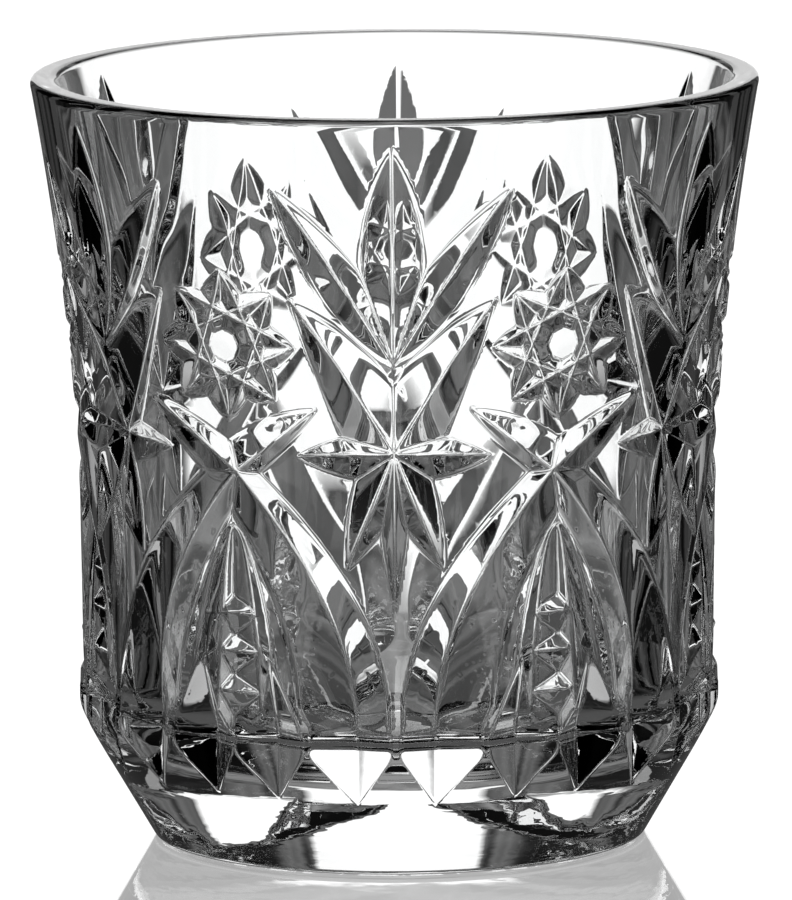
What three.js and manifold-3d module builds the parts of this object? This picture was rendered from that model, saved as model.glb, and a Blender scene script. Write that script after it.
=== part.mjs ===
// A double old fashioned glass: one thick piece of clear pressed glass with a cut pattern outside.
// The pattern has six equal motifs round the wall and is the same on both sides of each motif's middle.
// Lengths are in millimetres and angles in degrees, +Z is up and the glass stands on z = 0.
// Angle 0 is the middle of a motif and faces -Y.
import * as THREE from 'three';
import { ConvexGeometry } from 'three/addons/geometries/ConvexGeometry.js';
import { mergeVertices } from 'three/addons/utils/BufferGeometryUtils.js';
import Module from 'manifold-3d';

const wasm = await Module();
wasm.setup();

// Outside of the blank
const height = 97;
const rimDiameter = 92;
const waistDiameter = 80.5;
const waistHeight = 42;
const baseDiameter = 81.3;
const baseCornerHeight = 16.5;
const footDiameter = 62;
const flareBend = 1.65;
const footEdgeRound = 0.8;
const baseCornerRound = 1.6;

// Inside of the blank; the floor is dished and rises from its middle to the wall
const rimWall = 3.2;
const bodyWall = 4.45;
const floorThickness = 13.8;
const floorRise = 3.2;
const cavityCornerRound = 5;
const cavityFlareHeight = 48.5;
const cavityFlareBend = 2;
const lipRound = 0.9;

// Hollow under the base, inside the ring that the glass stands on
const footRingWidth = 5;
const hollowDepth = 0.8;
const hollowEdgeWidth = 3;

// Motif layout
const motifCount = 6;
const motifAngle = 360 / motifCount;
const halfMotif = motifAngle / 2;

// Leaves that rise from the root on the motif's middle
const leafRootHeight = 66;
const plainRimBand = 3.6;
const centreLeafHalfWidth = 3.65;
const centreLeafDepth = 1.7;
const upperLeafTipAngle = 19.3;
const upperLeafTipBelowRim = 9;
const upperLeafHalfWidth = 2.7;
const upperLeafDepth = 1.35;

// Rays that spread from the star point on the motif's middle
const starHeight = 54.5;
const starDepth = 2.1;
const lowerLeafTip = { angle: 17.3, rise: 19.5 };
const lowerLeafOuterHalfWidth = 5;
const lowerLeafInnerHalfWidth = 4.5;
const sideRayTip = { angle: 16.8, rise: 0 };
const sideRayHalfWidth = 3.3;
const lowRayTip = { angle: 8.5, rise: -14.2 };
const lowRayHalfWidth = 3.4;
const downRayTip = { angle: 0, rise: -19.5 };
const downRayHalfWidth = 2.2;

// Crossing between two motifs, with an arm up and a leg down to each side
const crossingHeight = 51.7;
const crossingDepth = 1.3;
const armTipAngle = 13.5;
const armRise = 8.6;
const armUpperHalfWidth = 3;
const armLowerHalfWidth = 2.1;
const legTopHalfWidth = 2.5;
const legArchSideWidth = 6.6;
const legMiddleSideWidth = 4.5;

// Notched column inside the arch that two legs make
const archApexBelowCrossing = 7;
const columnFootHalfAngle = 4.9;
const columnBend = 0.45;
const channelDepth = 1.5;
const channelDepthBend = 0.35;
const channelOuterWidth = 3.2;
const notchHeights = [23.9, 29, 33.8];
const notchDepth = 1.4;
const notchHalfWidth = 2.45;

// Upright grooves across the corner of the base: a long one under each leg and a short one that runs out
const longGrooveAngle = 7.6;
const longGrooveDepth = 3.65;
const longGrooveMiddleSideWidth = 4.45;
const longGrooveArchSideWidth = 5.1;
const longGrooveTopHeight = 19.5;
const shortGrooveAngle = 23.2;
const shortGrooveDepth = 3.35;
const shortGrooveHalfWidth = 4.6;
const shortGrooveFullHeight = 18.7;
const shortGrooveTopHeight = 29;

// Star of straight grooves between two motifs
const rosetteHeight = 67.9;
const rosetteRadius = 9.3;
const rosettePoints = 8;
const rosetteSkip = 3;
const rosetteGrooveHalfWidth = 1.3;
const rosetteGrooveDepth = 0.85;

// How far the cutters stand out of the glass
const cutterClearance = 1.5;

// Fineness of the curves
const segmentsRound = 48;
const lowerWallSteps = 2;
const upperWallSteps = 4;
const innerWallSteps = 4;
const roundSteps = 2;
const cavityCornerSteps = 4;
const floorSteps = 3;
const leafStationCount = 5;
const rayStationCount = 4;
const legStationCount = 6;
const channelStationCount = 4;
const notchStationCount = 2;
const chordStationCount = 4;

// Points nearer than this are one point
const mergeDistance = 1e-4;

const rimRadius = rimDiameter / 2;
const waistRadius = waistDiameter / 2;
const baseRadius = baseDiameter / 2;
const footRadius = footDiameter / 2;
const cavityRadius = waistRadius - bodyWall;
const mouthRadius = rimRadius - rimWall;

// Radius of the outside at a height: sloping base, nearly upright wall, then the flare to the rim.
function outerRadius(z) {
  if (z < baseCornerHeight) {
    return THREE.MathUtils.lerp(footRadius, baseRadius, z / baseCornerHeight);
  }
  if (z < waistHeight) {
    const drop = (waistHeight - z) / (waistHeight - baseCornerHeight);
    return waistRadius + (baseRadius - waistRadius) * drop ** 2;
  }
  const climb = Math.min((z - waistHeight) / (height - lipRound - waistHeight), 1);
  return waistRadius + (rimRadius - waistRadius) * climb ** flareBend;
}

// Radius of the inside at a height, above the rounded corner of its floor.
function innerRadius(z) {
  const climb = Math.max((z - cavityFlareHeight) / (height - cavityFlareHeight), 0);
  return cavityRadius + (mouthRadius - cavityRadius) * climb ** cavityFlareBend;
}

// Height of the floor inside at a radius.
function floorInside(radius) {
  return floorThickness + floorRise * (radius / cavityRadius) ** 2;
}

// Points of a profile from one height to another, both ends included.
function profilePoints(radiusAt, from, to, steps) {
  return Array.from({ length: steps + 1 }, (_, step) => {
    const z = THREE.MathUtils.lerp(from, to, step / steps);
    return new THREE.Vector2(radiusAt(z), z);
  });
}

// A rounded corner: a quadratic curve from a point before the corner to a point after it.
function roundedCorner(before, corner, after, steps) {
  return new THREE.QuadraticBezierCurve(before, corner, after).getPoints(steps);
}

// The point at a distance from one profile point towards another.
function pointTowards(from, to, distance) {
  return from.clone().add(to.clone().sub(from).setLength(distance));
}

// The outline of the outside, from the middle of the underside up to the lip.
function outsideProfile() {
  const hollowRadius = footRadius - footEdgeRound - footRingWidth;
  const foot = new THREE.Vector2(footRadius, 0);
  const beforeFoot = new THREE.Vector2(footRadius - footEdgeRound, 0);
  const corner = new THREE.Vector2(baseRadius, baseCornerHeight);
  const wallStartHeight = baseCornerHeight + baseCornerRound;
  const wallStart = new THREE.Vector2(outerRadius(wallStartHeight), wallStartHeight);
  const lipStart = new THREE.Vector2(rimRadius, height - lipRound);
  const lipCorner = new THREE.Vector2(rimRadius, height);
  const lipTop = new THREE.Vector2(rimRadius - lipRound, height);
  return [
    new THREE.Vector2(0, hollowDepth),
    new THREE.Vector2(hollowRadius - hollowEdgeWidth, hollowDepth),
    new THREE.Vector2(hollowRadius, 0),
    ...roundedCorner(beforeFoot, foot, pointTowards(foot, corner, footEdgeRound), roundSteps),
    ...roundedCorner(pointTowards(corner, foot, baseCornerRound), corner, wallStart, roundSteps),
    ...profilePoints(outerRadius, wallStartHeight, waistHeight, lowerWallSteps).slice(1, -1),
    ...profilePoints(outerRadius, waistHeight, height - lipRound, upperWallSteps).slice(0, -1),
    ...roundedCorner(lipStart, lipCorner, lipTop, roundSteps),
  ];
}

// The outline of the inside, from the lip down to the middle of the dished floor.
function insideProfile() {
  const lipTop = new THREE.Vector2(mouthRadius + lipRound, height);
  const lipCorner = new THREE.Vector2(mouthRadius, height);
  const lipEnd = new THREE.Vector2(innerRadius(height - lipRound), height - lipRound);
  const floorRadius = cavityRadius - cavityCornerRound;
  const floorEdge = new THREE.Vector2(floorRadius, floorInside(floorRadius));
  const floorSlope = 2 * floorRise * floorRadius / cavityRadius ** 2;
  const cornerHeight = floorEdge.y + floorSlope * cavityCornerRound;
  const corner = new THREE.Vector2(cavityRadius, cornerHeight);
  const wallFoot = new THREE.Vector2(cavityRadius, cornerHeight + cavityCornerRound);
  const floorPoints = Array.from({ length: floorSteps }, (_, step) => {
    const radius = floorRadius * (1 - (step + 1) / floorSteps);
    return new THREE.Vector2(radius, floorInside(radius));
  });
  return [
    ...roundedCorner(lipTop, lipCorner, lipEnd, roundSteps),
    ...profilePoints(innerRadius, height - lipRound, cavityFlareHeight, innerWallSteps).slice(1),
    ...roundedCorner(wallFoot, corner, floorEdge, cavityCornerSteps),
    ...floorPoints,
  ];
}

// A closed three.js shape as a solid that can be cut.
function solidFrom(geometry) {
  const bare = geometry.index ? geometry.clone() : geometry;
  bare.deleteAttribute('normal');
  bare.deleteAttribute('uv');
  const merged = mergeVertices(bare, mergeDistance);
  return new wasm.Manifold(new wasm.Mesh({
    numProp: 3,
    vertProperties: new Float32Array(merged.attributes.position.array),
    triVerts: new Uint32Array(merged.index.array),
  }));
}

function geometryFrom(solid) {
  const mesh = solid.getMesh();
  const geometry = new THREE.BufferGeometry();
  geometry.setAttribute('position', new THREE.BufferAttribute(mesh.vertProperties, 3));
  geometry.setIndex(new THREE.BufferAttribute(mesh.triVerts, 1));
  geometry.computeVertexNormals();
  return geometry;
}

// A point at an angle round the glass, a radius and a height.
function pointAt(angle, radius, z) {
  const turn = THREE.MathUtils.degToRad(angle);
  return new THREE.Vector3(radius * Math.sin(turn), -radius * Math.cos(turn), z);
}

// Half width over depth at a station; a station of no depth takes the ratio of its neighbour.
function spreadRatio(stations, index, side) {
  const isDeep = stations[index].depth > 0;
  const near = isDeep ? index : Math.abs(index - 1);
  return stations[near][side] / stations[near].depth;
}

// The three corners of the cutter at a station: the bottom of the groove and a top to either side.
function cutterSection(stations, index) {
  const { angle, z, depth } = stations[index];
  const before = stations[Math.max(index - 1, 0)];
  const after = stations[Math.min(index + 1, stations.length - 1)];
  const along = pointAt(after.angle, outerRadius(after.z), after.z)
    .sub(pointAt(before.angle, outerRadius(before.z), before.z));
  const outward = pointAt(angle, 1, 0);
  const sideways = outward.clone().cross(along).normalize();
  const valley = pointAt(angle, outerRadius(z) - depth, z);
  const rise = depth + cutterClearance;
  const top = (side, sign) => valley.clone()
    .addScaledVector(outward, rise)
    .addScaledVector(sideways, sign * rise * spreadRatio(stations, index, side));
  return [valley, top('left', 1), top('right', -1)];
}

// The cutters of one groove, a wedge between each station and the next.
function grooveCutters(stations) {
  return stations.slice(1).map((_, index) => {
    const corners = [...cutterSection(stations, index), ...cutterSection(stations, index + 1)];
    return solidFrom(new ConvexGeometry(corners));
  });
}

// Stations at equal steps along a groove; each of the shape's functions takes the share of the way along.
function stationsAlong(shape, count) {
  return Array.from({ length: count }, (_, index) => {
    const share = index / (count - 1);
    const [angle, z] = shape.path(share);
    return { angle, z, left: shape.left(share), right: shape.right(share), depth: shape.depth(share) };
  });
}

// The same groove on the other side of angle 0.
function mirrored(stations) {
  return stations.map((station) => ({
    ...station,
    angle: -station.angle,
    left: station.right,
    right: station.left,
  }));
}

function onBothSides(stations) {
  return [stations, mirrored(stations)];
}

// The angle and height a share of the way from one point of the wall to another.
function between(from, to, share) {
  return [THREE.MathUtils.lerp(from.angle, to.angle, share), THREE.MathUtils.lerp(from.z, to.z, share)];
}

// A groove that is deepest near its middle and runs out at both ends.
function leafStations(root, tip, halfWidth, depth) {
  const swell = (share) => 1 - (2 * share - 1) ** 2;
  return stationsAlong({
    path: (share) => between(root, tip, share),
    left: (share) => halfWidth * swell(share),
    right: (share) => halfWidth * swell(share),
    depth: (share) => depth * swell(share),
  }, leafStationCount);
}

// A groove that is deepest at its start and runs out at its end.
function rayStations(start, tip, left, right, depth) {
  const fade = (share) => 1 - share ** 2;
  return stationsAlong({
    path: (share) => between(start, tip, share),
    left: (share) => left * fade(share),
    right: (share) => right * fade(share),
    depth: (share) => depth * fade(share),
  }, rayStationCount);
}

function leafGrooves() {
  const root = { angle: 0, z: leafRootHeight };
  const centreTip = { angle: 0, z: height - plainRimBand };
  const upperTip = { angle: upperLeafTipAngle, z: height - upperLeafTipBelowRim };
  return [
    leafStations(root, centreTip, centreLeafHalfWidth, centreLeafDepth),
    ...onBothSides(leafStations(root, upperTip, upperLeafHalfWidth, upperLeafDepth)),
  ];
}

function starGrooves() {
  const centre = { angle: 0, z: starHeight };
  const ray = (tip, left, right) =>
    rayStations(centre, { angle: tip.angle, z: starHeight + tip.rise }, left, right, starDepth);
  return [
    ...onBothSides(ray(lowerLeafTip, lowerLeafInnerHalfWidth, lowerLeafOuterHalfWidth)),
    ...onBothSides(ray(sideRayTip, sideRayHalfWidth, sideRayHalfWidth)),
    ...onBothSides(ray(lowRayTip, lowRayHalfWidth, lowRayHalfWidth)),
    ray(downRayTip, downRayHalfWidth, downRayHalfWidth),
  ];
}

function crossingGrooves() {
  const crossing = { angle: halfMotif, z: crossingHeight };
  const armTip = { angle: armTipAngle, z: crossingHeight + armRise };
  return onBothSides(rayStations(crossing, armTip, armLowerHalfWidth, armUpperHalfWidth, crossingDepth));
}

// The cut of an upright groove in the base at a height: its valley keeps the same radius all the way.
function uprightStation(angle, z, depthAtCorner, left, right) {
  const depth = outerRadius(z) - (baseRadius - depthAtCorner);
  const share = depth / depthAtCorner;
  return { angle, z, left: left * share, right: right * share, depth };
}

// Where a groove has run out to nothing.
function runOutStation(angle, z) {
  return { angle, z, left: 0, right: 0, depth: 0 };
}

// The legs curve down from the crossing and end in the long grooves of the base.
function legGrooves() {
  const wide = (share, full) => THREE.MathUtils.lerp(legTopHalfWidth, full, Math.sin(share * Math.PI / 2));
  const leg = stationsAlong({
    path: (share) => [
      THREE.MathUtils.lerp(longGrooveAngle, halfMotif, (1 - share) ** 2),
      THREE.MathUtils.lerp(crossingHeight, longGrooveTopHeight, share),
    ],
    left: (share) => wide(share, legArchSideWidth),
    right: (share) => wide(share, legMiddleSideWidth),
    depth: (share) => THREE.MathUtils.lerp(crossingDepth, longGrooveDepth, share ** 2),
  }, legStationCount);
  const foot = uprightStation(
    longGrooveAngle,
    longGrooveTopHeight,
    longGrooveDepth,
    longGrooveArchSideWidth,
    longGrooveMiddleSideWidth,
  );
  return onBothSides([...leg.slice(0, -1), foot]);
}

// Half the angle of the column at a share of the way down from the arch's apex.
function columnHalfAngle(share) {
  return columnFootHalfAngle * share ** columnBend;
}

// The channels beside the column, which leave its crest as a ridge on the arch's middle.
function channelGrooves() {
  const apexHeight = crossingHeight - archApexBelowCrossing;
  const down = (share) => share ** 2;
  const toRidge = (share) => THREE.MathUtils.degToRad(columnHalfAngle(down(share))) * waistRadius;
  return onBothSides(stationsAlong({
    path: (share) => [
      halfMotif - columnHalfAngle(down(share)),
      THREE.MathUtils.lerp(apexHeight, longGrooveTopHeight, down(share)),
    ],
    left: toRidge,
    right: (share) => channelOuterWidth * Math.sin(share * Math.PI / 2),
    depth: (share) => channelDepth * down(share) ** channelDepthBend,
  }, channelStationCount));
}

// Level notches across the column, as wide as the column is there.
function notchGrooves() {
  const apexHeight = crossingHeight - archApexBelowCrossing;
  return notchHeights.map((z) => {
    const reach = columnHalfAngle((apexHeight - z) / (apexHeight - longGrooveTopHeight));
    return stationsAlong({
      path: (share) => [halfMotif + reach * (2 * share - 1), z],
      left: () => notchHalfWidth,
      right: () => notchHalfWidth,
      depth: () => notchDepth,
    }, notchStationCount);
  });
}

// Upright grooves across the corner of the base: they run out below on the slope of the base.
function baseGrooves() {
  const footSlope = (baseRadius - footRadius) / baseCornerHeight;
  const longStation = (z) => uprightStation(
    longGrooveAngle,
    z,
    longGrooveDepth,
    longGrooveMiddleSideWidth,
    longGrooveArchSideWidth,
  );
  const shortStation = (z) => uprightStation(
    shortGrooveAngle,
    z,
    shortGrooveDepth,
    shortGrooveHalfWidth,
    shortGrooveHalfWidth,
  );
  const long = [
    runOutStation(longGrooveAngle, baseCornerHeight - longGrooveDepth / footSlope),
    longStation(baseCornerHeight),
    longStation(longGrooveTopHeight),
  ];
  const short = [
    runOutStation(shortGrooveAngle, baseCornerHeight - shortGrooveDepth / footSlope),
    shortStation(baseCornerHeight),
    shortStation(shortGrooveFullHeight),
    runOutStation(shortGrooveAngle, shortGrooveTopHeight),
  ];
  return [...onBothSides(long), ...onBothSides(short)];
}

// The star between two motifs: chords that join each point of the star to the third one on.
function rosetteGrooves() {
  const degreesPerMillimetre = THREE.MathUtils.radToDeg(1 / outerRadius(rosetteHeight));
  const starPoint = (index) => {
    const turn = 2 * Math.PI * index / rosettePoints;
    return {
      angle: halfMotif + rosetteRadius * Math.sin(turn) * degreesPerMillimetre,
      z: rosetteHeight + rosetteRadius * Math.cos(turn),
    };
  };
  const swell = (share) => 1 - (2 * share - 1) ** 4;
  return Array.from({ length: rosettePoints }, (_, index) => {
    return stationsAlong({
      path: (share) => between(starPoint(index), starPoint(index + rosetteSkip), share),
      left: (share) => rosetteGrooveHalfWidth * swell(share),
      right: (share) => rosetteGrooveHalfWidth * swell(share),
      depth: (share) => rosetteGrooveDepth * swell(share),
    }, chordStationCount);
  });
}

// A groove moved round the glass.
function turned(stations, turn) {
  return stations.map((station) => ({ ...station, angle: station.angle + turn }));
}

function cutPattern(blank) {
  const motif = [
    ...leafGrooves(),
    ...starGrooves(),
    ...crossingGrooves(),
    ...legGrooves(),
    ...channelGrooves(),
    ...notchGrooves(),
    ...baseGrooves(),
    ...rosetteGrooves(),
  ];
  let glass = blank;
  for (let copy = 0; copy < motifCount; copy += 1) {
    const cutters = motif.flatMap((stations) => grooveCutters(turned(stations, copy * motifAngle)));
    glass = glass.subtract(cutters.reduce((joined, cutter) => joined.add(cutter)));
  }
  return largestBody(glass);
}

// Cuts that only touch can leave specks of no volume, so the one body of the glass is kept.
function largestBody(solid) {
  return solid.decompose().reduce((largest, body) => (body.volume() > largest.volume() ? body : largest));
}

function makeTumbler() {
  const blank = new THREE.LatheGeometry([...outsideProfile(), ...insideProfile()], segmentsRound);
  blank.rotateX(Math.PI / 2);
  const clearGlass = new THREE.MeshStandardMaterial({ color: 0xf2f5f6, roughness: 0.03, metalness: 0 });
  const mesh = new THREE.Mesh(geometryFrom(cutPattern(solidFrom(blank))), clearGlass);
  mesh.name = 'tumbler';
  return mesh;
}

const glass = new THREE.Group();
glass.add(makeTumbler());

export default glass;
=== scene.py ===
# The looks of the double old fashioned glass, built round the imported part.
# Lengths are millimetres and angles are degrees; mm() gives a length in the scene's metres.
import math

import bpy
import numpy as np
from mathutils import Matrix, Vector


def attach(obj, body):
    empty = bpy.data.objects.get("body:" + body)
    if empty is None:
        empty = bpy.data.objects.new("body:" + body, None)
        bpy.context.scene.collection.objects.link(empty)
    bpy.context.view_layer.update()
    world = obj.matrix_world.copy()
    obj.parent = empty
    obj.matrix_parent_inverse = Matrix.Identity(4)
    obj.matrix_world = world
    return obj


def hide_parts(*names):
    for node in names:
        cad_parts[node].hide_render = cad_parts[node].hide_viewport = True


# The blank, outside
HEIGHT = 97.0
RIM_RADIUS = 46.0
WAIST_RADIUS = 40.25
WAIST_HEIGHT = 42.0
BASE_RADIUS = 40.65
BASE_CORNER_HEIGHT = 16.5
FOOT_RADIUS = 31.0
FLARE_BEND = 1.65
FOOT_EDGE_ROUND = 0.8
BASE_CORNER_ROUND = 1.6

# The blank, inside; the floor is dished and rises from its middle to the wall
MOUTH_RADIUS = 42.8
CAVITY_RADIUS = 35.8
CAVITY_FLARE_HEIGHT = 48.5
CAVITY_FLARE_BEND = 2.0
FLOOR_HEIGHT = 13.8
FLOOR_RISE = 3.2
CAVITY_CORNER_ROUND = 5.0
LIP_ROUND = 0.9

# The hollow under the base
RING_INNER_RADIUS = 25.2
HOLLOW_EDGE_WIDTH = 3.0
HOLLOW_DEPTH = 0.8

# The pattern repeats round the glass and is mirrored in the middle of each motif.
# A place in it is an angle and a height: a motif's middle is at 0, the next crossing at HALF_MOTIF
MOTIF_COUNT = 6
HALF_MOTIF = 180.0 / MOTIF_COUNT

# Leaves that rise from the root
ROOT = (0.0, 66.0)
CENTRE_LEAF_TIP = (0.0, 93.4)
CENTRE_LEAF_DEPTH = 1.7
CENTRE_LEAF_HALF_WIDTH = 3.65
CENTRE_LEAF_WIDEST = 0.47
UPPER_LEAF_TIP = (19.3, 88.0)
UPPER_LEAF_DEPTH = 1.35
UPPER_LEAF_HALF_WIDTH = 2.7
UPPER_LEAF_WIDEST = 0.43

# Rays that spread from the star point. Flanks are the widths to the left and right of the valley;
# tapers are the powers by which the left flank, the right flank and the depth fade towards the tip
STAR = (0.0, 54.5)
STAR_DEPTH = 2.1
PLAIN_TAPERS = (2.0, 2.0, 2.0)
LOWER_LEAF_TIP = (17.3, 74.0)
LOWER_LEAF_FLANKS = (4.5, 5.1)
LOWER_LEAF_TAPERS = (3.1, 1.25, 2.0)
SIDE_RAY_TIP = (16.8, 54.4)
SIDE_RAY_FLANKS = (3.3, 3.3)
LOW_RAY_TIP = (8.5, 40.3)
LOW_RAY_FLANKS = (3.4, 3.4)
DOWN_RAY_TIP = (0.0, 35.0)
DOWN_RAY_FLANKS = (2.2, 2.2)
DOWN_RAY_TAPERS = (1.6, 1.6, 1.6)

# The crossing between two motifs, with an arm up and a leg down to each side
CROSSING = (HALF_MOTIF, 51.7)
CROSSING_DEPTH = 1.3
ARM_TIP = (13.5, 60.3)
ARM_FLANKS = (2.2, 3.0)
ARM_TAPERS = (2.0, 2.6, 2.3)
LEG_ANGLE = 7.6
LEG_END_HEIGHT = 19.5
LEG_VALLEY_RADIUS = 37.0
LEG_TOP_ARCH_SIDE = 2.4
LEG_TOP_MIDDLE_SIDE = 2.5
LEG_FULL_ARCH_SIDE = 6.6
LEG_FULL_MIDDLE_SIDE = 4.5
LEG_SETTLES_FROM = 0.88
LEG_PLACES = 65

# The column inside the arch: a channel down each side and level notches across, as (height, half angle)
CHANNEL_TOP = 44.7
CHANNEL_SPREAD = 4.9
CHANNEL_SPREAD_BEND = 0.45
CHANNEL_DEPTH = 1.5
CHANNEL_DEPTH_BEND = 0.35
CHANNEL_COLUMN_SIDE = 0.94
CHANNEL_OUTER_SIDE = 3.1
CHANNEL_OUTER_BEND = 1.6
CHANNEL_LEAST_FLANK = 0.2
CHANNEL_PLACES = 49
NOTCHES = ((33.8, 2.6), (29.0, 3.2), (23.9, 3.8))
NOTCH_DEPTH = 1.4
NOTCH_HALF_WIDTH = 2.45

# Upright grooves across the corner of the base: one ends a leg, and the pillar's runs out up the wall
BASE_GROOVE_FROM = 6.0
BASE_MIDDLE_SIDE = 4.35
BASE_ARCH_SIDE = 5.0
PILLAR_ANGLE = 23.2
PILLAR_TOP = 29.0
PILLAR_VALLEY_RADIUS = 37.3
PILLAR_HALF_WIDTH = 4.5
PILLAR_RUN_OUT_SLOPE = 0.32

# The star of straight grooves between two motifs
ROSETTE = (HALF_MOTIF, 67.9)
ROSETTE_RADIUS = 9.3
ROSETTE_POINTS = 8
ROSETTE_SKIP = 3
ROSETTE_DEPTH = 0.85
ROSETTE_HALF_WIDTH = 1.3
ROSETTE_BLUNTNESS = 4.0

# How softly the pressed edges and valleys are rounded
VALLEY_ROUND = 0.15
EDGE_ROUND = 0.25

# How far past the half motif a groove still counts, and how near its ends its slope is worked out
MOTIF_MARGIN = 7.0
END_SHARE = 0.002

# Fineness of the mesh. A cell is halved where its surface departs from its corners' blend by SHAPE_ERROR,
# or its normals do by TURN_ERROR over the cell's width, counted in the finest cells
FIRST_CELLS_ACROSS = 10
FIRST_CELL_SIZE = 2.1
HALVINGS = 4
FINE = 2 ** HALVINGS
SHAPE_ERROR = 0.03
TURN_ERROR = 0.3
HOLLOW_CELLS = 3
INNER_WALL_CELLS = 14
CAVITY_CORNER_CELLS = 4
FLOOR_CELLS = 3
NORMAL_ANGLE_STEP = 0.02
NORMAL_CELL_STEP = 0.01
TINY = 1e-9

# The photograph's camera: far off with a long lens, looking a little down, turned a little round the glass
CAMERA_TARGET_HEIGHT = 48.5
CAMERA_DISTANCE = 1617.9
CAMERA_PITCH = 9.0
CAMERA_TURN = 0.6
CAMERA_ROLL = 0.43
CAMERA_LENS = 510.9
CAMERA_SENSOR = 36.0
CAMERA_NEAREST = 100.0
CAMERA_FARTHEST = 20000.0
PICTURE = (792, 900)
TARGET_PIXEL = (397.3, 453.0)

# The glass: the slow waves of pressed glass, and the fine level lines that polishing leaves low on the base
GLASS_TINT = (0.99, 0.995, 0.995, 1)
GLASS_IOR = 1.52
WAVE_HEIGHT = 0.08
WAVE_STRETCH = (1, 1, 0.6)
WAVE_SCALE = 110.0
LINE_HEIGHT = 0.012
LINE_STRETCH = (2, 2, 9)
LINE_SCALE = 150.0
LINES_BELOW = 9.0
LINES_FADE = 3.0
NOISE_DETAIL = 1.0

# The room that the glass bends and reflects: directions in degrees, levels where 1 is white
STRAIGHT_UP = 90.0
PANEL_LIGHT = 1.2
PANEL_HALF_WIDTH = 10.8
PANEL_TOP = 33.0
PANEL_TOP_FADE = 4.0
PANEL_WIDENS_FROM = 18.0
PANEL_WIDENS_OVER = 10.0
PANEL_WIDENING = 4.0
STRIP_SPACING = 45.0
STRIP_HALF_WIDTH = 9.0
STRIP_LIGHT = 1.2
STRIPS_FULL_FROM = 150.0
EDGE_SOFTNESS = 1.5
FLAG_MIDDLE = 16.0
FLAG_HALF_WIDTH = 3.0
FLAG_FADE = 10.0
FLAG_LIGHT = 0.15
STREAK_SPACING = 5.0
STREAK_CONTRAST = 2.2
CEILING_HALF_WIDTH = 20.0
CEILING_FADE = 10.0
CEILING_LIGHT = 0.3
ROOM_DARK = 0.005

# The table: lengths in millimetres, the width of its painted sheen in degrees, levels of its painted light
# and shade where 1 is white
TABLE_HALF_SIZE = 6000.0
TABLE_BELOW_FOOT = 0.1
TABLE_IOR = 1.5
TABLE_ROUGHNESS = 0.02
TABLE_GLOSS = 1.7
TABLE_NEAR_RADIUS = 60.0
TABLE_NEAR_FADE = 40.0
TABLE_NEAR_LIGHT = 0.08
TABLE_LIT_FROM = 110.0
TABLE_LIT_FULLY = 230.0
TABLE_SHEEN = 0.16
TABLE_SHEEN_WIDTH = 85.0
TABLE_SHEEN_BEND = 1.5
TABLE_DARK = 0.01
TABLE_STRIP_LIGHT = 0.8

WHITE = (1, 1, 1, 1)


def mm(value):
    return value / 1000.0


# The blank's walls and floor
def outer_radius(z):
    z = np.asarray(z, float)
    slope = FOOT_RADIUS + (BASE_RADIUS - FOOT_RADIUS) * z / BASE_CORNER_HEIGHT
    drop = (WAIST_HEIGHT - z) / (WAIST_HEIGHT - BASE_CORNER_HEIGHT)
    wall = WAIST_RADIUS + (BASE_RADIUS - WAIST_RADIUS) * drop ** 2
    climb = np.clip((z - WAIST_HEIGHT) / (HEIGHT - LIP_ROUND - WAIST_HEIGHT), 0, 1)
    flare = WAIST_RADIUS + (RIM_RADIUS - WAIST_RADIUS) * climb ** FLARE_BEND
    return np.where(z < BASE_CORNER_HEIGHT, slope, np.where(z < WAIST_HEIGHT, wall, flare))


def inner_radius(z):
    climb = np.clip((np.asarray(z, float) - CAVITY_FLARE_HEIGHT) / (HEIGHT - CAVITY_FLARE_HEIGHT), 0, 1)
    return CAVITY_RADIUS + (MOUTH_RADIUS - CAVITY_RADIUS) * climb ** CAVITY_FLARE_BEND


def floor_inside(radius):
    return FLOOR_HEIGHT + FLOOR_RISE * (radius / CAVITY_RADIUS) ** 2


# How a groove's depth and flanks change along it, at a share of its length
def swell(share, power):
    """0 at both ends and 1 in the middle, the blunter the higher the power."""
    return 1 - np.abs(2 * share - 1) ** power


def lens(share, widest):
    """0 at both ends and 1 at the widest place."""
    away = np.where(share < widest, share / widest, (1 - share) / (1 - widest))
    return 1 - (1 - away) ** 2


def settle(share):
    """0 down most of a leg, easing to 1 at its end."""
    eased = np.clip((share - LEG_SETTLES_FROM) / (1 - LEG_SETTLES_FROM), 0, 1)
    return eased * eased * (3 - 2 * eased)


def fade(share, power):
    """1 at the start and 0 at the tip."""
    return 1 - share ** power


def constant(value):
    return lambda share: value + 0 * share


# The grooves. Each is a path on the wall, a depth along it and the width of each flank along it.
# The left flank has the larger angles where the path goes down, and the smaller ones where it goes up
def groove(path, depth, left, right):
    return {"path": np.array(path, float), "depth": depth, "left": left, "right": right}


def leaf(tip, depth, half_width, widest):
    return groove(
        [ROOT, tip],
        lambda share: depth * lens(share, widest),
        lambda share: half_width * lens(share, widest),
        lambda share: half_width * lens(share, widest),
    )


def ray(start, tip, depth, flanks, tapers=PLAIN_TAPERS):
    return groove(
        [start, tip],
        lambda share: depth * fade(share, tapers[2]),
        lambda share: flanks[0] * fade(share, tapers[0]),
        lambda share: flanks[1] * fade(share, tapers[1]),
    )


def leaf_grooves():
    return [
        leaf(CENTRE_LEAF_TIP, CENTRE_LEAF_DEPTH, CENTRE_LEAF_HALF_WIDTH, CENTRE_LEAF_WIDEST),
        leaf(UPPER_LEAF_TIP, UPPER_LEAF_DEPTH, UPPER_LEAF_HALF_WIDTH, UPPER_LEAF_WIDEST),
    ]


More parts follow.
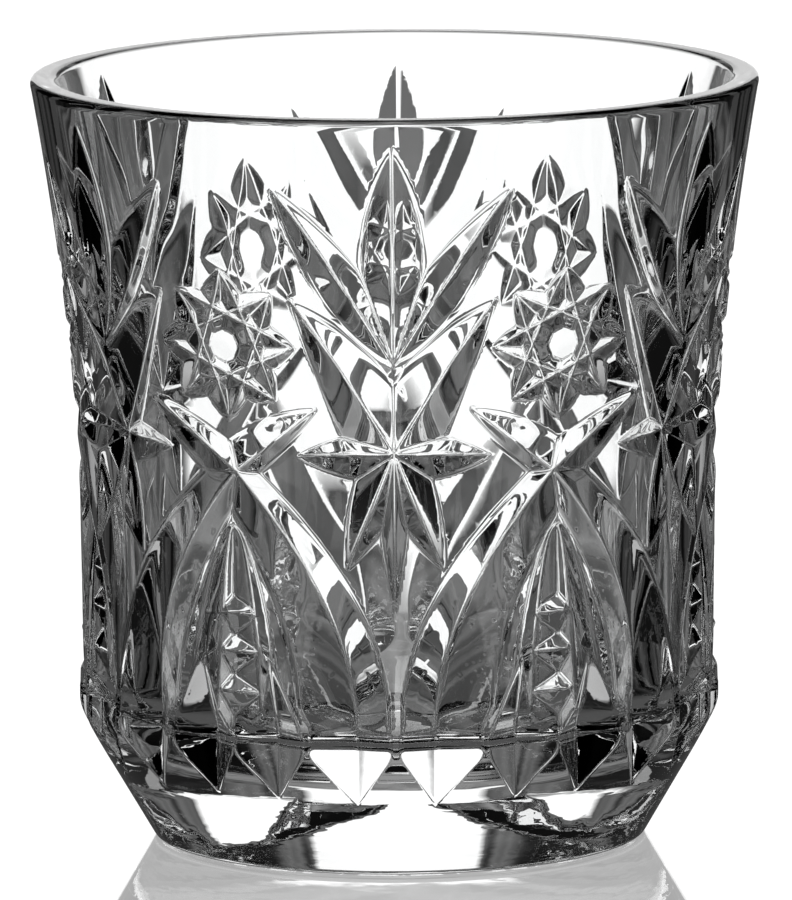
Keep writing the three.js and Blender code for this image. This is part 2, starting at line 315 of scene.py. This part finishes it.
def star_grooves():
    return [
        ray(STAR, LOWER_LEAF_TIP, STAR_DEPTH, LOWER_LEAF_FLANKS, LOWER_LEAF_TAPERS),
        ray(STAR, SIDE_RAY_TIP, STAR_DEPTH, SIDE_RAY_FLANKS),
        ray(STAR, LOW_RAY_TIP, STAR_DEPTH, LOW_RAY_FLANKS),
        ray(STAR, DOWN_RAY_TIP, STAR_DEPTH, DOWN_RAY_FLANKS, DOWN_RAY_TAPERS),
    ]


def arm_groove():
    return ray(CROSSING, ARM_TIP, CROSSING_DEPTH, ARM_FLANKS, ARM_TAPERS)


def leg_groove():
    """Curves down from the crossing to the corner of the base, where a base groove takes over."""
    share = np.linspace(0, 1, LEG_PLACES)
    path = np.column_stack([
        LEG_ANGLE + (HALF_MOTIF - LEG_ANGLE) * (1 - share) ** 2,
        CROSSING[1] + (LEG_END_HEIGHT - CROSSING[1]) * share,
    ])
    end_depth = float(outer_radius(LEG_END_HEIGHT)) - LEG_VALLEY_RADIUS

    def flank(top, full, end):
        return lambda share: top + (full - top) * np.sin(share * math.pi / 2) + (end - full) * settle(share)

    return groove(
        path,
        lambda share: CROSSING_DEPTH + (end_depth - CROSSING_DEPTH) * share ** 2,
        flank(LEG_TOP_ARCH_SIDE, LEG_FULL_ARCH_SIDE, BASE_ARCH_SIDE),
        flank(LEG_TOP_MIDDLE_SIDE, LEG_FULL_MIDDLE_SIDE, BASE_MIDDLE_SIDE),
    )


def channel_groove():
    """Runs down beside the column, with the column's ridge between it and its mirror image."""
    def spread(share):
        return CHANNEL_SPREAD * share ** CHANNEL_SPREAD_BEND

    share = np.linspace(0, 1, CHANNEL_PLACES) ** 2
    drop = LEG_END_HEIGHT - CHANNEL_TOP
    path = np.column_stack([HALF_MOTIF - spread(share), CHANNEL_TOP + drop * share])
    degree = math.radians(1) * WAIST_RADIUS
    return groove(
        path,
        lambda share: CHANNEL_DEPTH * share ** CHANNEL_DEPTH_BEND,
        lambda share: np.maximum(CHANNEL_COLUMN_SIDE * spread(share) * degree, CHANNEL_LEAST_FLANK),
        lambda share: CHANNEL_OUTER_SIDE * swell(share / 2, CHANNEL_OUTER_BEND) + CHANNEL_LEAST_FLANK,
    )


def notch_groove(z, reach):
    path = [(HALF_MOTIF - reach, z), (HALF_MOTIF + reach, z)]
    return groove(path, constant(NOTCH_DEPTH), constant(NOTCH_HALF_WIDTH), constant(NOTCH_HALF_WIDTH))


def base_groove(angle, valley, top, left, right, limit=None):
    """Cuts the corner of the base with an upright valley at one radius; the limit holds its depth back."""
    full = float(outer_radius(LEG_END_HEIGHT)) - valley

    def depth(share):
        z = BASE_GROOVE_FROM + (top - BASE_GROOVE_FROM) * share
        deep = outer_radius(z) - valley
        return np.minimum(deep, limit(z)) if limit else deep

    return groove(
        [(angle, BASE_GROOVE_FROM), (angle, top)],
        depth,
        lambda share: depth(share) * left / full,
        lambda share: depth(share) * right / full,
    )


def base_grooves():
    def run_out(z):
        return (PILLAR_TOP - z) * PILLAR_RUN_OUT_SLOPE

    flank = PILLAR_HALF_WIDTH
    return [
        base_groove(LEG_ANGLE, LEG_VALLEY_RADIUS, LEG_END_HEIGHT, BASE_MIDDLE_SIDE, BASE_ARCH_SIDE),
        base_groove(PILLAR_ANGLE, PILLAR_VALLEY_RADIUS, PILLAR_TOP, flank, flank, run_out),
    ]


def rosette_groove(number):
    """Joins two points of the star, ROSETTE_SKIP apart."""
    degree = math.radians(1) * float(outer_radius(ROSETTE[1]))

    def point(index):
        turn = math.tau * index / ROSETTE_POINTS
        aside = ROSETTE_RADIUS * math.sin(turn) / degree
        return (ROSETTE[0] + aside, ROSETTE[1] + ROSETTE_RADIUS * math.cos(turn))

    return groove(
        [point(number), point(number + ROSETTE_SKIP)],
        lambda share: ROSETTE_DEPTH * swell(share, ROSETTE_BLUNTNESS),
        lambda share: ROSETTE_HALF_WIDTH * swell(share, ROSETTE_BLUNTNESS),
        lambda share: ROSETTE_HALF_WIDTH * swell(share, ROSETTE_BLUNTNESS),
    )


def mirrored(shape, middle):
    path = shape["path"] * [-1, 1] + [2 * middle, 0]
    return {"path": path, "depth": shape["depth"], "left": shape["right"], "right": shape["left"]}


def same_path(first, second):
    return len(first["path"]) == len(second["path"]) and np.allclose(first["path"], second["path"])


def all_grooves():
    """Every groove that cuts the half motif, with its mirror images in the two planes beside it."""
    once = [
        *leaf_grooves(),
        *star_grooves(),
        arm_groove(),
        leg_groove(),
        channel_groove(),
        *(notch_groove(z, reach) for z, reach in NOTCHES),
        *base_grooves(),
        *(rosette_groove(number) for number in range(ROSETTE_POINTS)),
    ]
    every = []
    for shape in once:
        for copy in (shape, mirrored(shape, 0.0), mirrored(shape, HALF_MOTIF)):
            angles = copy["path"][:, 0]
            is_near = angles.max() > -MOTIF_MARGIN and angles.min() < HALF_MOTIF + MOTIF_MARGIN
            if is_near and not any(same_path(other, copy) for other in every):
                every.append(copy)
    return every


# The depth of the cuts
def groove_depth(shape, theta, z):
    """How deep this groove alone would cut at a point; negative outside it."""
    path = shape["path"]
    scale = math.radians(1) * float(outer_radius(path[:, 1].mean()))
    flat = path * [scale, 1]
    steps = np.diff(flat, axis=0)
    lengths = np.hypot(steps[:, 0], steps[:, 1])
    before = np.concatenate([[0], np.cumsum(lengths)])
    best_distance = np.full(theta.shape, np.inf)
    share = np.zeros(theta.shape)
    side = np.zeros(theta.shape)
    overshoot = np.zeros(theta.shape)
    last = len(steps) - 1
    for index, (step, length) in enumerate(zip(steps, lengths)):
        unit = step / length
        x = theta * scale - flat[index, 0]
        y = z - flat[index, 1]
        along = x * unit[0] + y * unit[1]
        held = np.clip(along, 0, length)
        aside = -x * unit[1] + y * unit[0]
        past = along - held
        distance = np.hypot(aside, past)
        nearer = distance < best_distance
        best_distance = np.where(nearer, distance, best_distance)
        share = np.where(nearer, (before[index] + held) / before[-1], share)
        at_end = (index == 0) * (past < 0) + (index == last) * (past > 0)
        side = np.where(nearer, np.where(at_end > 0, aside, np.sign(aside) * distance), side)
        overshoot = np.where(nearer, np.where(at_end > 0, np.abs(past), 0), overshoot)
    # depth and flanks may both end at nothing, so the slope is taken just inside the ends
    inner = np.clip(share, END_SHARE, 1 - END_SHARE)
    depth = shape["depth"](share)
    safe = shape["depth"](inner)
    slope = np.where(side > 0, safe / shape["left"](inner), safe / shape["right"](inner))
    distance = np.sqrt(side ** 2 + VALLEY_ROUND ** 2) - VALLEY_ROUND
    return depth - (distance + overshoot) * slope


def smooth_max(first, second):
    blend = np.maximum(EDGE_ROUND - np.abs(first - second), 0)
    return np.maximum(first, second) + blend ** 2 / (4 * EDGE_ROUND)


def cut_depth(theta, z, grooves, deepest):
    for shape in grooves:
        deepest = smooth_max(deepest, groove_depth(shape, theta, z))
    return deepest


# The blank's profile. Each kind of stretch gives radius and height at shares of its length
def line(start, end):
    start, end = np.array(start, float), np.array(end, float)
    return lambda share: start + (end - start) * share[:, None]


def rounded(start, corner, end):
    start, corner, end = (np.array(point, float) for point in (start, corner, end))

    def at(share):
        share = share[:, None]
        return start * (1 - share) ** 2 + corner * (2 * share * (1 - share)) + end * share ** 2

    return at


def along_wall(radius, low, high):
    def at(share):
        z = low + (high - low) * share
        return np.column_stack([radius(z), z])

    return at


def along_floor(outer, inner):
    def at(share):
        radius = outer + (inner - outer) * share
        return np.column_stack([radius, floor_inside(radius)])

    return at


def towards(start, end, distance):
    start, end = np.array(start, float), np.array(end, float)
    return start + (end - start) / np.linalg.norm(end - start) * distance


def first_cells(length):
    return max(1, round(length / FIRST_CELL_SIZE))


def underside_profile(foot, foot_out):
    hollow_inner = (RING_INNER_RADIUS - HOLLOW_EDGE_WIDTH, HOLLOW_DEPTH)
    ring_inner = (RING_INNER_RADIUS, 0)
    ring_outer = (FOOT_RADIUS - FOOT_EDGE_ROUND, 0)
    return [
        (line((0, HOLLOW_DEPTH), hollow_inner), HOLLOW_CELLS, False),
        (line(hollow_inner, ring_inner), 1, False),
        (line(ring_inner, ring_outer), 1, False),
        (rounded(ring_outer, foot, foot_out), 1, False),
    ]


def cut_profile(corner, foot, foot_out, wall_high):
    wall_low = BASE_CORNER_HEIGHT + BASE_CORNER_ROUND
    corner_in = towards(corner, foot, BASE_CORNER_ROUND)
    corner_out = (float(outer_radius(wall_low)), wall_low)
    return [
        (line(foot_out, corner_in), first_cells(np.linalg.norm(corner_in - foot_out)), True),
        (rounded(corner_in, corner, corner_out), 1, True),
        (along_wall(outer_radius, wall_low, wall_high), first_cells(wall_high - wall_low), True),
    ]


def lip_profile(wall_high):
    lip_out = (float(outer_radius(wall_high)), wall_high)
    top_outer = (RIM_RADIUS - LIP_ROUND, HEIGHT)
    top_inner = (MOUTH_RADIUS + LIP_ROUND, HEIGHT)
    lip_in = (float(inner_radius(wall_high)), wall_high)
    return [
        (rounded(lip_out, (RIM_RADIUS, HEIGHT), top_outer), 1, False),
        (line(top_outer, top_inner), 1, False),
        (rounded(top_inner, (MOUTH_RADIUS, HEIGHT), lip_in), 1, False),
    ]


def cavity_profile(wall_high):
    floor_edge = CAVITY_RADIUS - CAVITY_CORNER_ROUND
    floor_tilt = 2 * FLOOR_RISE * floor_edge / CAVITY_RADIUS ** 2
    low_corner = floor_inside(floor_edge) + floor_tilt * CAVITY_CORNER_ROUND
    wall_foot = low_corner + CAVITY_CORNER_ROUND
    side, corner = (CAVITY_RADIUS, wall_foot), (CAVITY_RADIUS, low_corner)
    return [
        (along_wall(inner_radius, wall_high, wall_foot), INNER_WALL_CELLS, False),
        (rounded(side, corner, (floor_edge, floor_inside(floor_edge))), CAVITY_CORNER_CELLS, False),
        (along_floor(floor_edge, 0), FLOOR_CELLS, False),
    ]


def profile():
    """Stretches from the underside's middle to the floor's: shape, first cells, whether it is cut."""
    foot, corner = (FOOT_RADIUS, 0.0), (BASE_RADIUS, BASE_CORNER_HEIGHT)
    foot_out = towards(foot, corner, FOOT_EDGE_ROUND)
    wall_high = HEIGHT - LIP_ROUND
    return [
        *underside_profile(foot, foot_out),
        *cut_profile(corner, foot, foot_out, wall_high),
        *lip_profile(wall_high),
        *cavity_profile(wall_high),
    ]


# The mesh of half a motif
def surface(stretches, grooves, theta, along):
    """Radius and height at an angle and a place along the profile, counted in first cells."""
    radius, height = np.zeros(theta.shape), np.zeros(theta.shape)
    start = 0
    total = sum(cells for _, cells, _ in stretches)
    along = np.clip(along, 0, total)
    for number, (at, cells, is_cut) in enumerate(stretches):
        here = (along >= start) & ((along < start + cells) | (number == len(stretches) - 1))
        if here.any():
            point = at((along[here] - start) / cells)
            radius[here] = point[:, 0]
            if is_cut:
                sharp = outer_radius(point[:, 1])
                radius[here] = sharp - cut_depth(theta[here], point[:, 1], grooves, sharp - point[:, 0])
            height[here] = point[:, 1]
        start += cells
    return radius, height


def place(radius, turn, z):
    """The point at a distance from the axis, a turn in radians from the front, and a height."""
    return np.stack([radius * np.sin(turn), -radius * np.cos(turn), z], axis=-1)


def fine_grid():
    """Points, normals and angles at the corners of the finest cells, in rows up the profile."""
    stretches = profile()
    grooves = all_grooves()
    rows = sum(cells for _, cells, _ in stretches) * FINE
    columns = FIRST_CELLS_ACROSS * FINE
    places, angles = np.arange(rows + 1) / FINE, np.arange(columns + 1) * HALF_MOTIF / columns
    along, theta = np.meshgrid(places, angles, indexing="ij")

    def spot(angle_step, cell_step):
        stepped = (theta + angle_step).ravel()
        radius, z = surface(stretches, grooves, stepped, (along + cell_step).ravel())
        return place(radius, np.radians(stepped), z).reshape(*theta.shape, 3)

    points = spot(0, 0)
    across = spot(NORMAL_ANGLE_STEP, 0) - spot(-NORMAL_ANGLE_STEP, 0)
    up = spot(0, NORMAL_CELL_STEP) - spot(0, -NORMAL_CELL_STEP)
    normals = np.cross(across, up)
    lengths = np.linalg.norm(normals, axis=-1, keepdims=True)
    return points, normals / np.maximum(lengths, TINY), theta


def worst_departure(values, cells, size):
    """How far the values inside each cell depart from those blended between its four corners."""
    row, column = cells[:, 0], cells[:, 1]
    low_left, low_right = values[row, column], values[row, column + size]
    high_left, high_right = values[row + size, column], values[row + size, column + size]
    worst = np.zeros(len(cells))
    for up in range(size + 1):
        for across in range(size + 1):
            climb, shift = up / size, across / size
            low = low_left * (1 - shift) + low_right * shift
            high = high_left * (1 - shift) + high_right * shift
            departure = values[row + up, column + across] - (low * (1 - climb) + high * climb)
            worst = np.maximum(worst, np.linalg.norm(departure, axis=1))
    return worst


def chosen_cells(points, normals):
    """Cells that cover the fine grid, each as large as the shape allows: (row, column, size)."""
    rows, columns = range(0, points.shape[0] - 1, FINE), range(0, points.shape[1] - 1, FINE)
    cells = np.array([(row, column) for row in rows for column in columns])
    done = []
    size = FINE
    while size > 1:
        split = worst_departure(points, cells, size) > SHAPE_ERROR
        split |= worst_departure(normals, cells, size) > TURN_ERROR / size
        done += [(int(row), int(column), size) for row, column in cells[~split]]
        half = size // 2
        cells = np.concatenate([cells[split] + [up, across] for up in (0, half) for across in (0, half)])
        size = half
    return done + [(int(row), int(column), 1) for row, column in cells]


def cell_ring(row, column, size, used):
    """The used corners round a cell: its own four, and those that smaller neighbours put on its sides."""
    ring = [(row, column + step) for step in range(size)]
    ring += [(row + step, column + size) for step in range(size)]
    ring += [(row + size, column + size - step) for step in range(size)]
    ring += [(row + size - step, column) for step in range(size)]
    return [corner for corner in ring if used[corner]]


def two_triangles(points, ring, size):
    """Parts a cell along the diagonal nearer its middle, or in the finest cells along the shorter one."""
    low_left, low_right, high_right, high_left = ring
    rising = points[low_left] - points[high_right]
    falling = points[low_right] - points[high_left]
    if size > 1:
        middle = points[low_left[0] + size // 2, low_left[1] + size // 2]
        rising = (points[low_left] + points[high_right]) / 2 - middle
        falling = (points[low_right] + points[high_left]) / 2 - middle
    if np.linalg.norm(rising) <= np.linalg.norm(falling):
        return [(low_left, low_right, high_right), (low_left, high_right, high_left)]
    return [(low_left, low_right, high_left), (low_right, high_right, high_left)]


def half_motif_faces(points, normals):
    """Triangles as three corners of the fine grid each: (face, corner, row and column)."""
    cells = chosen_cells(points, normals)
    used = np.zeros(points.shape[:2], bool)
    for row, column, size in cells:
        used[row:row + size + 1:size, column:column + size + 1:size] = True
    faces = []
    for row, column, size in cells:
        ring = cell_ring(row, column, size, used)
        if len(ring) == 4:
            faces += two_triangles(points, ring, size)
        else:
            middle = (row + size // 2, column + size // 2)
            faces += [(middle, corner, following) for corner, following in zip(ring, ring[1:] + ring[:1])]
    return np.array(faces).reshape(-1, 3, 2)


# The mesh of the whole glass
def all_round(faces, columns):
    """Rows and turns of the corners of every face, copied to each motif and mirrored in its middle."""
    row, column = faces[..., 0], faces[..., 1]
    rows, turns = [], []
    for motif in range(MOTIF_COUNT):
        middle = 2 * columns * motif
        rows += [row, row[:, ::-1]]
        turns += [column + middle, (middle - column)[:, ::-1]]
    return np.concatenate(rows), np.concatenate(turns)


def whole_glass_corners(points, normals, theta, row, turn):
    """Points and normals at rows and turns of the whole glass, from those of half a motif."""
    columns = points.shape[1] - 1
    within = turn % (2 * columns)
    is_mirrored = within > columns
    column = np.where(is_mirrored, 2 * columns - within, within)
    angle = turn * math.tau / (2 * columns * MOTIF_COUNT)
    radius = np.hypot(points[row, column, 0], points[row, column, 1])
    placed = place(radius, angle, points[row, column, 2])

    # a normal is turned by its shares outward, sideways and up; on a mirror plane it has none sideways
    own = np.radians(theta[row, column])
    normal = normals[row, column]
    outward = normal[:, 0] * np.sin(own) - normal[:, 1] * np.cos(own)
    sideways = normal[:, 0] * np.cos(own) + normal[:, 1] * np.sin(own)
    sideways = np.where(is_mirrored, -sideways, sideways)
    sideways = np.where((column == 0) | (column == columns), 0, sideways)
    turned = np.stack([
        outward * np.sin(angle) + sideways * np.cos(angle),
        -outward * np.cos(angle) + sideways * np.sin(angle),
        normal[:, 2],
    ], axis=1)

    # on the axis the floor inside faces straight up and the underside straight down
    on_axis = radius < TINY
    turned[on_axis] = [0, 0, 1]
    turned[on_axis & (placed[:, 2] < FLOOR_HEIGHT / 2)] = [0, 0, -1]
    turned /= np.linalg.norm(turned, axis=1, keepdims=True)
    return placed, turned


def glass_mesh():
    points, normals, theta = fine_grid()
    columns = points.shape[1] - 1
    around = 2 * columns * MOTIF_COUNT
    rows, turns = all_round(half_motif_faces(points, normals), columns)
    on_axis = np.hypot(points[rows, 0, 0], points[rows, 0, 1]) < TINY
    turns = np.where(on_axis, 0, turns % around)
    corners, index = np.unique(rows * around + turns, return_inverse=True)
    triangles = index.reshape(rows.shape)
    first, second, third = triangles.T
    triangles = triangles[(first != second) & (second != third) & (third != first)]
    placed, turned = whole_glass_corners(points, normals, theta, corners // around, corners % around)
    return placed, turned, triangles


def make_glass():
    points, normals, triangles = glass_mesh()
    mesh = bpy.data.meshes.new("glass")
    mesh.from_pydata(mm(points).tolist(), [], triangles.tolist())
    mesh.update()
    mesh.polygons.foreach_set("use_smooth", np.ones(len(mesh.polygons), bool))
    mesh.normals_split_custom_set_from_vertices(normals.tolist())
    piece = bpy.data.objects.new("cut_glass", mesh)
    bpy.context.scene.collection.objects.link(piece)
    return piece


def make_camera():
    data = bpy.data.cameras.new("camera")
    data.lens = CAMERA_LENS
    data.sensor_width = CAMERA_SENSOR
    data.clip_start = mm(CAMERA_NEAREST)
    data.clip_end = mm(CAMERA_FARTHEST)
    long_side = max(PICTURE)
    data.shift_x = (PICTURE[0] / 2 - TARGET_PIXEL[0]) / long_side
    data.shift_y = (TARGET_PIXEL[1] - PICTURE[1] / 2) / long_side
    camera = bpy.data.objects.new("camera", data)
    bpy.context.scene.collection.objects.link(camera)
    turn, pitch = math.radians(CAMERA_TURN), math.radians(CAMERA_PITCH)
    back = Vector((math.sin(turn) * math.cos(pitch), -math.cos(turn) * math.cos(pitch), math.sin(pitch)))
    target = Vector((0, 0, mm(CAMERA_TARGET_HEIGHT)))
    roll = Matrix.Rotation(math.radians(-CAMERA_ROLL), 3, "Z")
    rotation = (-back).to_track_quat("-Z", "Y").to_matrix() @ roll
    camera.matrix_world = Matrix.Translation(target + back * mm(CAMERA_DISTANCE)) @ rotation.to_4x4()
    bpy.context.scene.camera = camera


# Shader nodes; a value is a number or a node's output
def node(tree, kind, **values):
    made = tree.nodes.new(kind)
    for name, value in values.items():
        setattr(made, name, value)
    return made


def maths(tree, operation, first, second=None, clamp=False):
    made = node(tree, "ShaderNodeMath", operation=operation, use_clamp=clamp)
    for socket, value in zip(made.inputs, (first, second)):
        if value is None:
            continue
        if hasattr(value, "links"):
            tree.links.new(value, socket)
        else:
            socket.default_value = value
    return made.outputs[0]


def add(tree, first, second):
    return maths(tree, "ADD", first, second)


def minus(tree, first, second):
    return maths(tree, "SUBTRACT", first, second)


def times(tree, first, second):
    return maths(tree, "MULTIPLY", first, second)


def larger(tree, first, second):
    return maths(tree, "MAXIMUM", first, second)


def apart(tree, first, second):
    return maths(tree, "ABSOLUTE", minus(tree, first, second))


def rise(tree, value, start, length):
    """0 where the value is below the start, rising to 1 over the length past it."""
    return maths(tree, "DIVIDE", minus(tree, value, start), length, clamp=True)


def window(tree, value, edge, soft):
    """1 where the value is below the edge, falling to 0 over the soft stretch past it."""
    return maths(tree, "DIVIDE", minus(tree, edge + soft, value), soft, clamp=True)


def bearing(tree, x, y):
    """Degrees round from straight behind the glass, the same to either side."""
    return times(tree, maths(tree, "ABSOLUTE", maths(tree, "ARCTAN2", x, y)), math.degrees(1))


def noise(tree, where, stretch, scale):
    """Soft noise on the object's own coordinates, in metres, drawn out by the stretch."""
    spread = node(tree, "ShaderNodeMapping")
    spread.inputs["Scale"].default_value = stretch
    tree.links.new(where, spread.inputs["Vector"])
    made = node(tree, "ShaderNodeTexNoise")
    made.inputs["Scale"].default_value = scale
    made.inputs["Detail"].default_value = NOISE_DETAIL
    tree.links.new(spread.outputs[0], made.inputs["Vector"])
    return made.outputs["Fac"]


def glow(tree, strength):
    made = node(tree, "ShaderNodeEmission")
    made.inputs["Color"].default_value = WHITE
    if hasattr(strength, "links"):
        tree.links.new(strength, made.inputs["Strength"])
    else:
        made.inputs["Strength"].default_value = strength
    return made


def mixed(tree, share, first, second):
    made = node(tree, "ShaderNodeMixShader")
    tree.links.new(share, made.inputs[0])
    tree.links.new(first.outputs[0], made.inputs[1])
    tree.links.new(second.outputs[0], made.inputs[2])
    return made


def bent_or_mirrored(tree):
    """1 for a ray that glass has bent or a polished surface has mirrored."""
    path = node(tree, "ShaderNodeLightPath")
    return larger(tree, path.outputs["Is Glossy Ray"], path.outputs["Is Transmission Ray"])


def clear_glass():
    material = bpy.data.materials.new("clear_glass")
    material.use_nodes = True
    tree = material.node_tree
    shader = tree.nodes["Principled BSDF"]
    shader.inputs["Base Color"].default_value = GLASS_TINT
    shader.inputs["Roughness"].default_value = 0.0
    shader.inputs["IOR"].default_value = GLASS_IOR
    shader.inputs["Transmission Weight"].default_value = 1.0
    where = node(tree, "ShaderNodeTexCoord").outputs["Object"]
    split = node(tree, "ShaderNodeSeparateXYZ")
    tree.links.new(where, split.inputs[0])
    waves = times(tree, noise(tree, where, WAVE_STRETCH, WAVE_SCALE), mm(WAVE_HEIGHT))
    lines = times(tree, noise(tree, where, LINE_STRETCH, LINE_SCALE), mm(LINE_HEIGHT))
    low = window(tree, split.outputs["Z"], mm(LINES_BELOW), mm(LINES_FADE))
    bump = node(tree, "ShaderNodeBump")
    bump.inputs["Strength"].default_value = 1.0
    bump.inputs["Distance"].default_value = 1.0
    tree.links.new(add(tree, waves, times(tree, lines, low)), bump.inputs["Height"])
    tree.links.new(bump.outputs[0], shader.inputs["Normal"])
    return material


# The room, and the table with its painted light and shade, as the glass shows them
def streaked(tree, aside, level):
    """The level with soft upright streaks in it."""
    uneven = node(tree, "ShaderNodeTexNoise", noise_dimensions="1D")
    uneven.inputs["Scale"].default_value = 1 / STREAK_SPACING
    uneven.inputs["Detail"].default_value = NOISE_DETAIL
    tree.links.new(aside, uneven.inputs["W"])
    swing = times(tree, minus(tree, uneven.outputs["Fac"], 0.5), 2 * STREAK_CONTRAST)
    return times(tree, add(tree, swing, 1.0), level)


def panel(tree, aside):
    """The wide white panel behind the glass."""
    return times(tree, window(tree, aside, PANEL_HALF_WIDTH, EDGE_SOFTNESS), PANEL_LIGHT)


def strips(tree, aside, light):
    """Strips at equal steps round the room, narrow and dim beside the panel, wide and bright in front."""
    step = maths(tree, "MODULO", add(tree, aside, STRIP_SPACING / 2), STRIP_SPACING)
    off = apart(tree, step, STRIP_SPACING / 2)
    grown = maths(tree, "DIVIDE", aside, STRIPS_FULL_FROM, clamp=True)
    lit = window(tree, maths(tree, "DIVIDE", off, grown), STRIP_HALF_WIDTH, EDGE_SOFTNESS)
    return times(tree, times(tree, lit, grown), light)


def room_through_glass(tree, x, y, z):
    """Tall white panels in a dark room, a grey flag on each side of the wide one and a pale ceiling."""
    aside = bearing(tree, x, y)
    level = times(tree, maths(tree, "ARCSINE", z), math.degrees(1))
    climb = rise(tree, level, PANEL_WIDENS_FROM, PANEL_WIDENS_OVER)
    narrowed = minus(tree, aside, times(tree, climb, PANEL_WIDENING))
    lit = larger(tree, panel(tree, narrowed), strips(tree, aside, STRIP_LIGHT))
    panels = times(tree, lit, window(tree, level, PANEL_TOP, PANEL_TOP_FADE))
    flag = window(tree, apart(tree, aside, FLAG_MIDDLE), FLAG_HALF_WIDTH, FLAG_FADE)
    flags = streaked(tree, aside, times(tree, flag, FLAG_LIGHT))
    overhead = window(tree, minus(tree, STRAIGHT_UP, level), CEILING_HALF_WIDTH, CEILING_FADE)
    ceiling = times(tree, overhead, CEILING_LIGHT)
    return larger(tree, larger(tree, panels, flags), larger(tree, ceiling, ROOM_DARK))


def painted_table_light(tree):
    """Painted light and shade on the table, which glows: a painted pool of light far off in front of the
    panels, a painted sheen, and dim painted shade elsewhere.
    """
    geometry = node(tree, "ShaderNodeNewGeometry")
    split = node(tree, "ShaderNodeSeparateXYZ")
    tree.links.new(geometry.outputs["Position"], split.inputs[0])
    x, y, _ = split.outputs
    aside = bearing(tree, x, y)
    away = maths(tree, "SQRT", add(tree, times(tree, x, x), times(tree, y, y)))
    # a painted pool of light on the table far off, in front of the panels and strips
    far = rise(tree, away, mm(TABLE_LIT_FROM), mm(TABLE_LIT_FULLY - TABLE_LIT_FROM))
    lit = times(tree, far, larger(tree, panel(tree, aside), strips(tree, aside, TABLE_STRIP_LIGHT)))
    # a painted sheen on the table, fading with the bearing from straight behind
    falling = maths(tree, "POWER", window(tree, aside, 0.0, TABLE_SHEEN_WIDTH), TABLE_SHEEN_BEND)
    sheen = streaked(tree, aside, add(tree, times(tree, falling, TABLE_SHEEN), TABLE_DARK))
    # a faint painted glow on the table near the glass
    near = times(tree, window(tree, away, mm(TABLE_NEAR_RADIUS), mm(TABLE_NEAR_FADE)), TABLE_NEAR_LIGHT)
    return larger(tree, lit, larger(tree, sheen, near))


def make_world():
    world = bpy.data.worlds.new("studio")
    bpy.context.scene.world = world
    world.use_nodes = True
    tree = world.node_tree
    tree.nodes.clear()
    coordinate = node(tree, "ShaderNodeTexCoord")
    split = node(tree, "ShaderNodeSeparateXYZ")
    tree.links.new(coordinate.outputs["Generated"], split.inputs[0])
    seen = room_through_glass(tree, *split.outputs)
    # every other ray meets plain white
    strength = add(tree, times(tree, bent_or_mirrored(tree), minus(tree, seen, 1.0)), 1.0)
    shine = node(tree, "ShaderNodeBackground")
    shine.inputs["Color"].default_value = WHITE
    tree.links.new(strength, shine.inputs["Strength"])
    output = node(tree, "ShaderNodeOutputWorld")
    tree.links.new(shine.outputs[0], output.inputs[0])


def table_top():
    """Plain white with a soft mirror image in it, and glowing with painted light and shade where the glass
    shows it.
    """
    material = bpy.data.materials.new("floor")
    material.use_nodes = True
    tree = material.node_tree
    tree.nodes.clear()
    gloss = node(tree, "ShaderNodeBsdfGlossy")
    gloss.inputs["Color"].default_value = WHITE
    gloss.inputs["Roughness"].default_value = TABLE_ROUGHNESS
    fresnel = node(tree, "ShaderNodeFresnel")
    fresnel.inputs["IOR"].default_value = TABLE_IOR
    shown = mixed(tree, times(tree, fresnel.outputs[0], TABLE_GLOSS), glow(tree, 1.0), gloss)
    # rays that glass bends or a surface mirrors see the table glowing with its painted light and shade
    final = mixed(tree, bent_or_mirrored(tree), shown, glow(tree, painted_table_light(tree)))
    output = node(tree, "ShaderNodeOutputMaterial")
    tree.links.new(final.outputs[0], output.inputs[0])
    return material


def make_floor():
    half = mm(TABLE_HALF_SIZE)
    corners = [(-half, -half, 0), (half, -half, 0), (half, half, 0), (-half, half, 0)]
    mesh = bpy.data.meshes.new("floor")
    mesh.from_pydata(corners, [], [(0, 1, 2, 3)])
    mesh.materials.append(table_top())
    floor = bpy.data.objects.new("floor", mesh)
    floor.location.z = -mm(TABLE_BELOW_FOOT)
    bpy.context.scene.collection.objects.link(floor)


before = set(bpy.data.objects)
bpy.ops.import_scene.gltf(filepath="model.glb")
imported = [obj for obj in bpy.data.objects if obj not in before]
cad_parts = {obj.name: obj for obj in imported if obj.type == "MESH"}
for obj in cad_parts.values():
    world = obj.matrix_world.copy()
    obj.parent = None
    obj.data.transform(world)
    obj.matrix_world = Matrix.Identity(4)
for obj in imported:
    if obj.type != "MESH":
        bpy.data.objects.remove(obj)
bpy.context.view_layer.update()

glass = make_glass()
glass.data.materials.append(clear_glass())
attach(glass, "root")
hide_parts("tumbler")

make_camera()
make_world()
make_floor()
bpy.context.scene.view_settings.view_transform = "Standard"
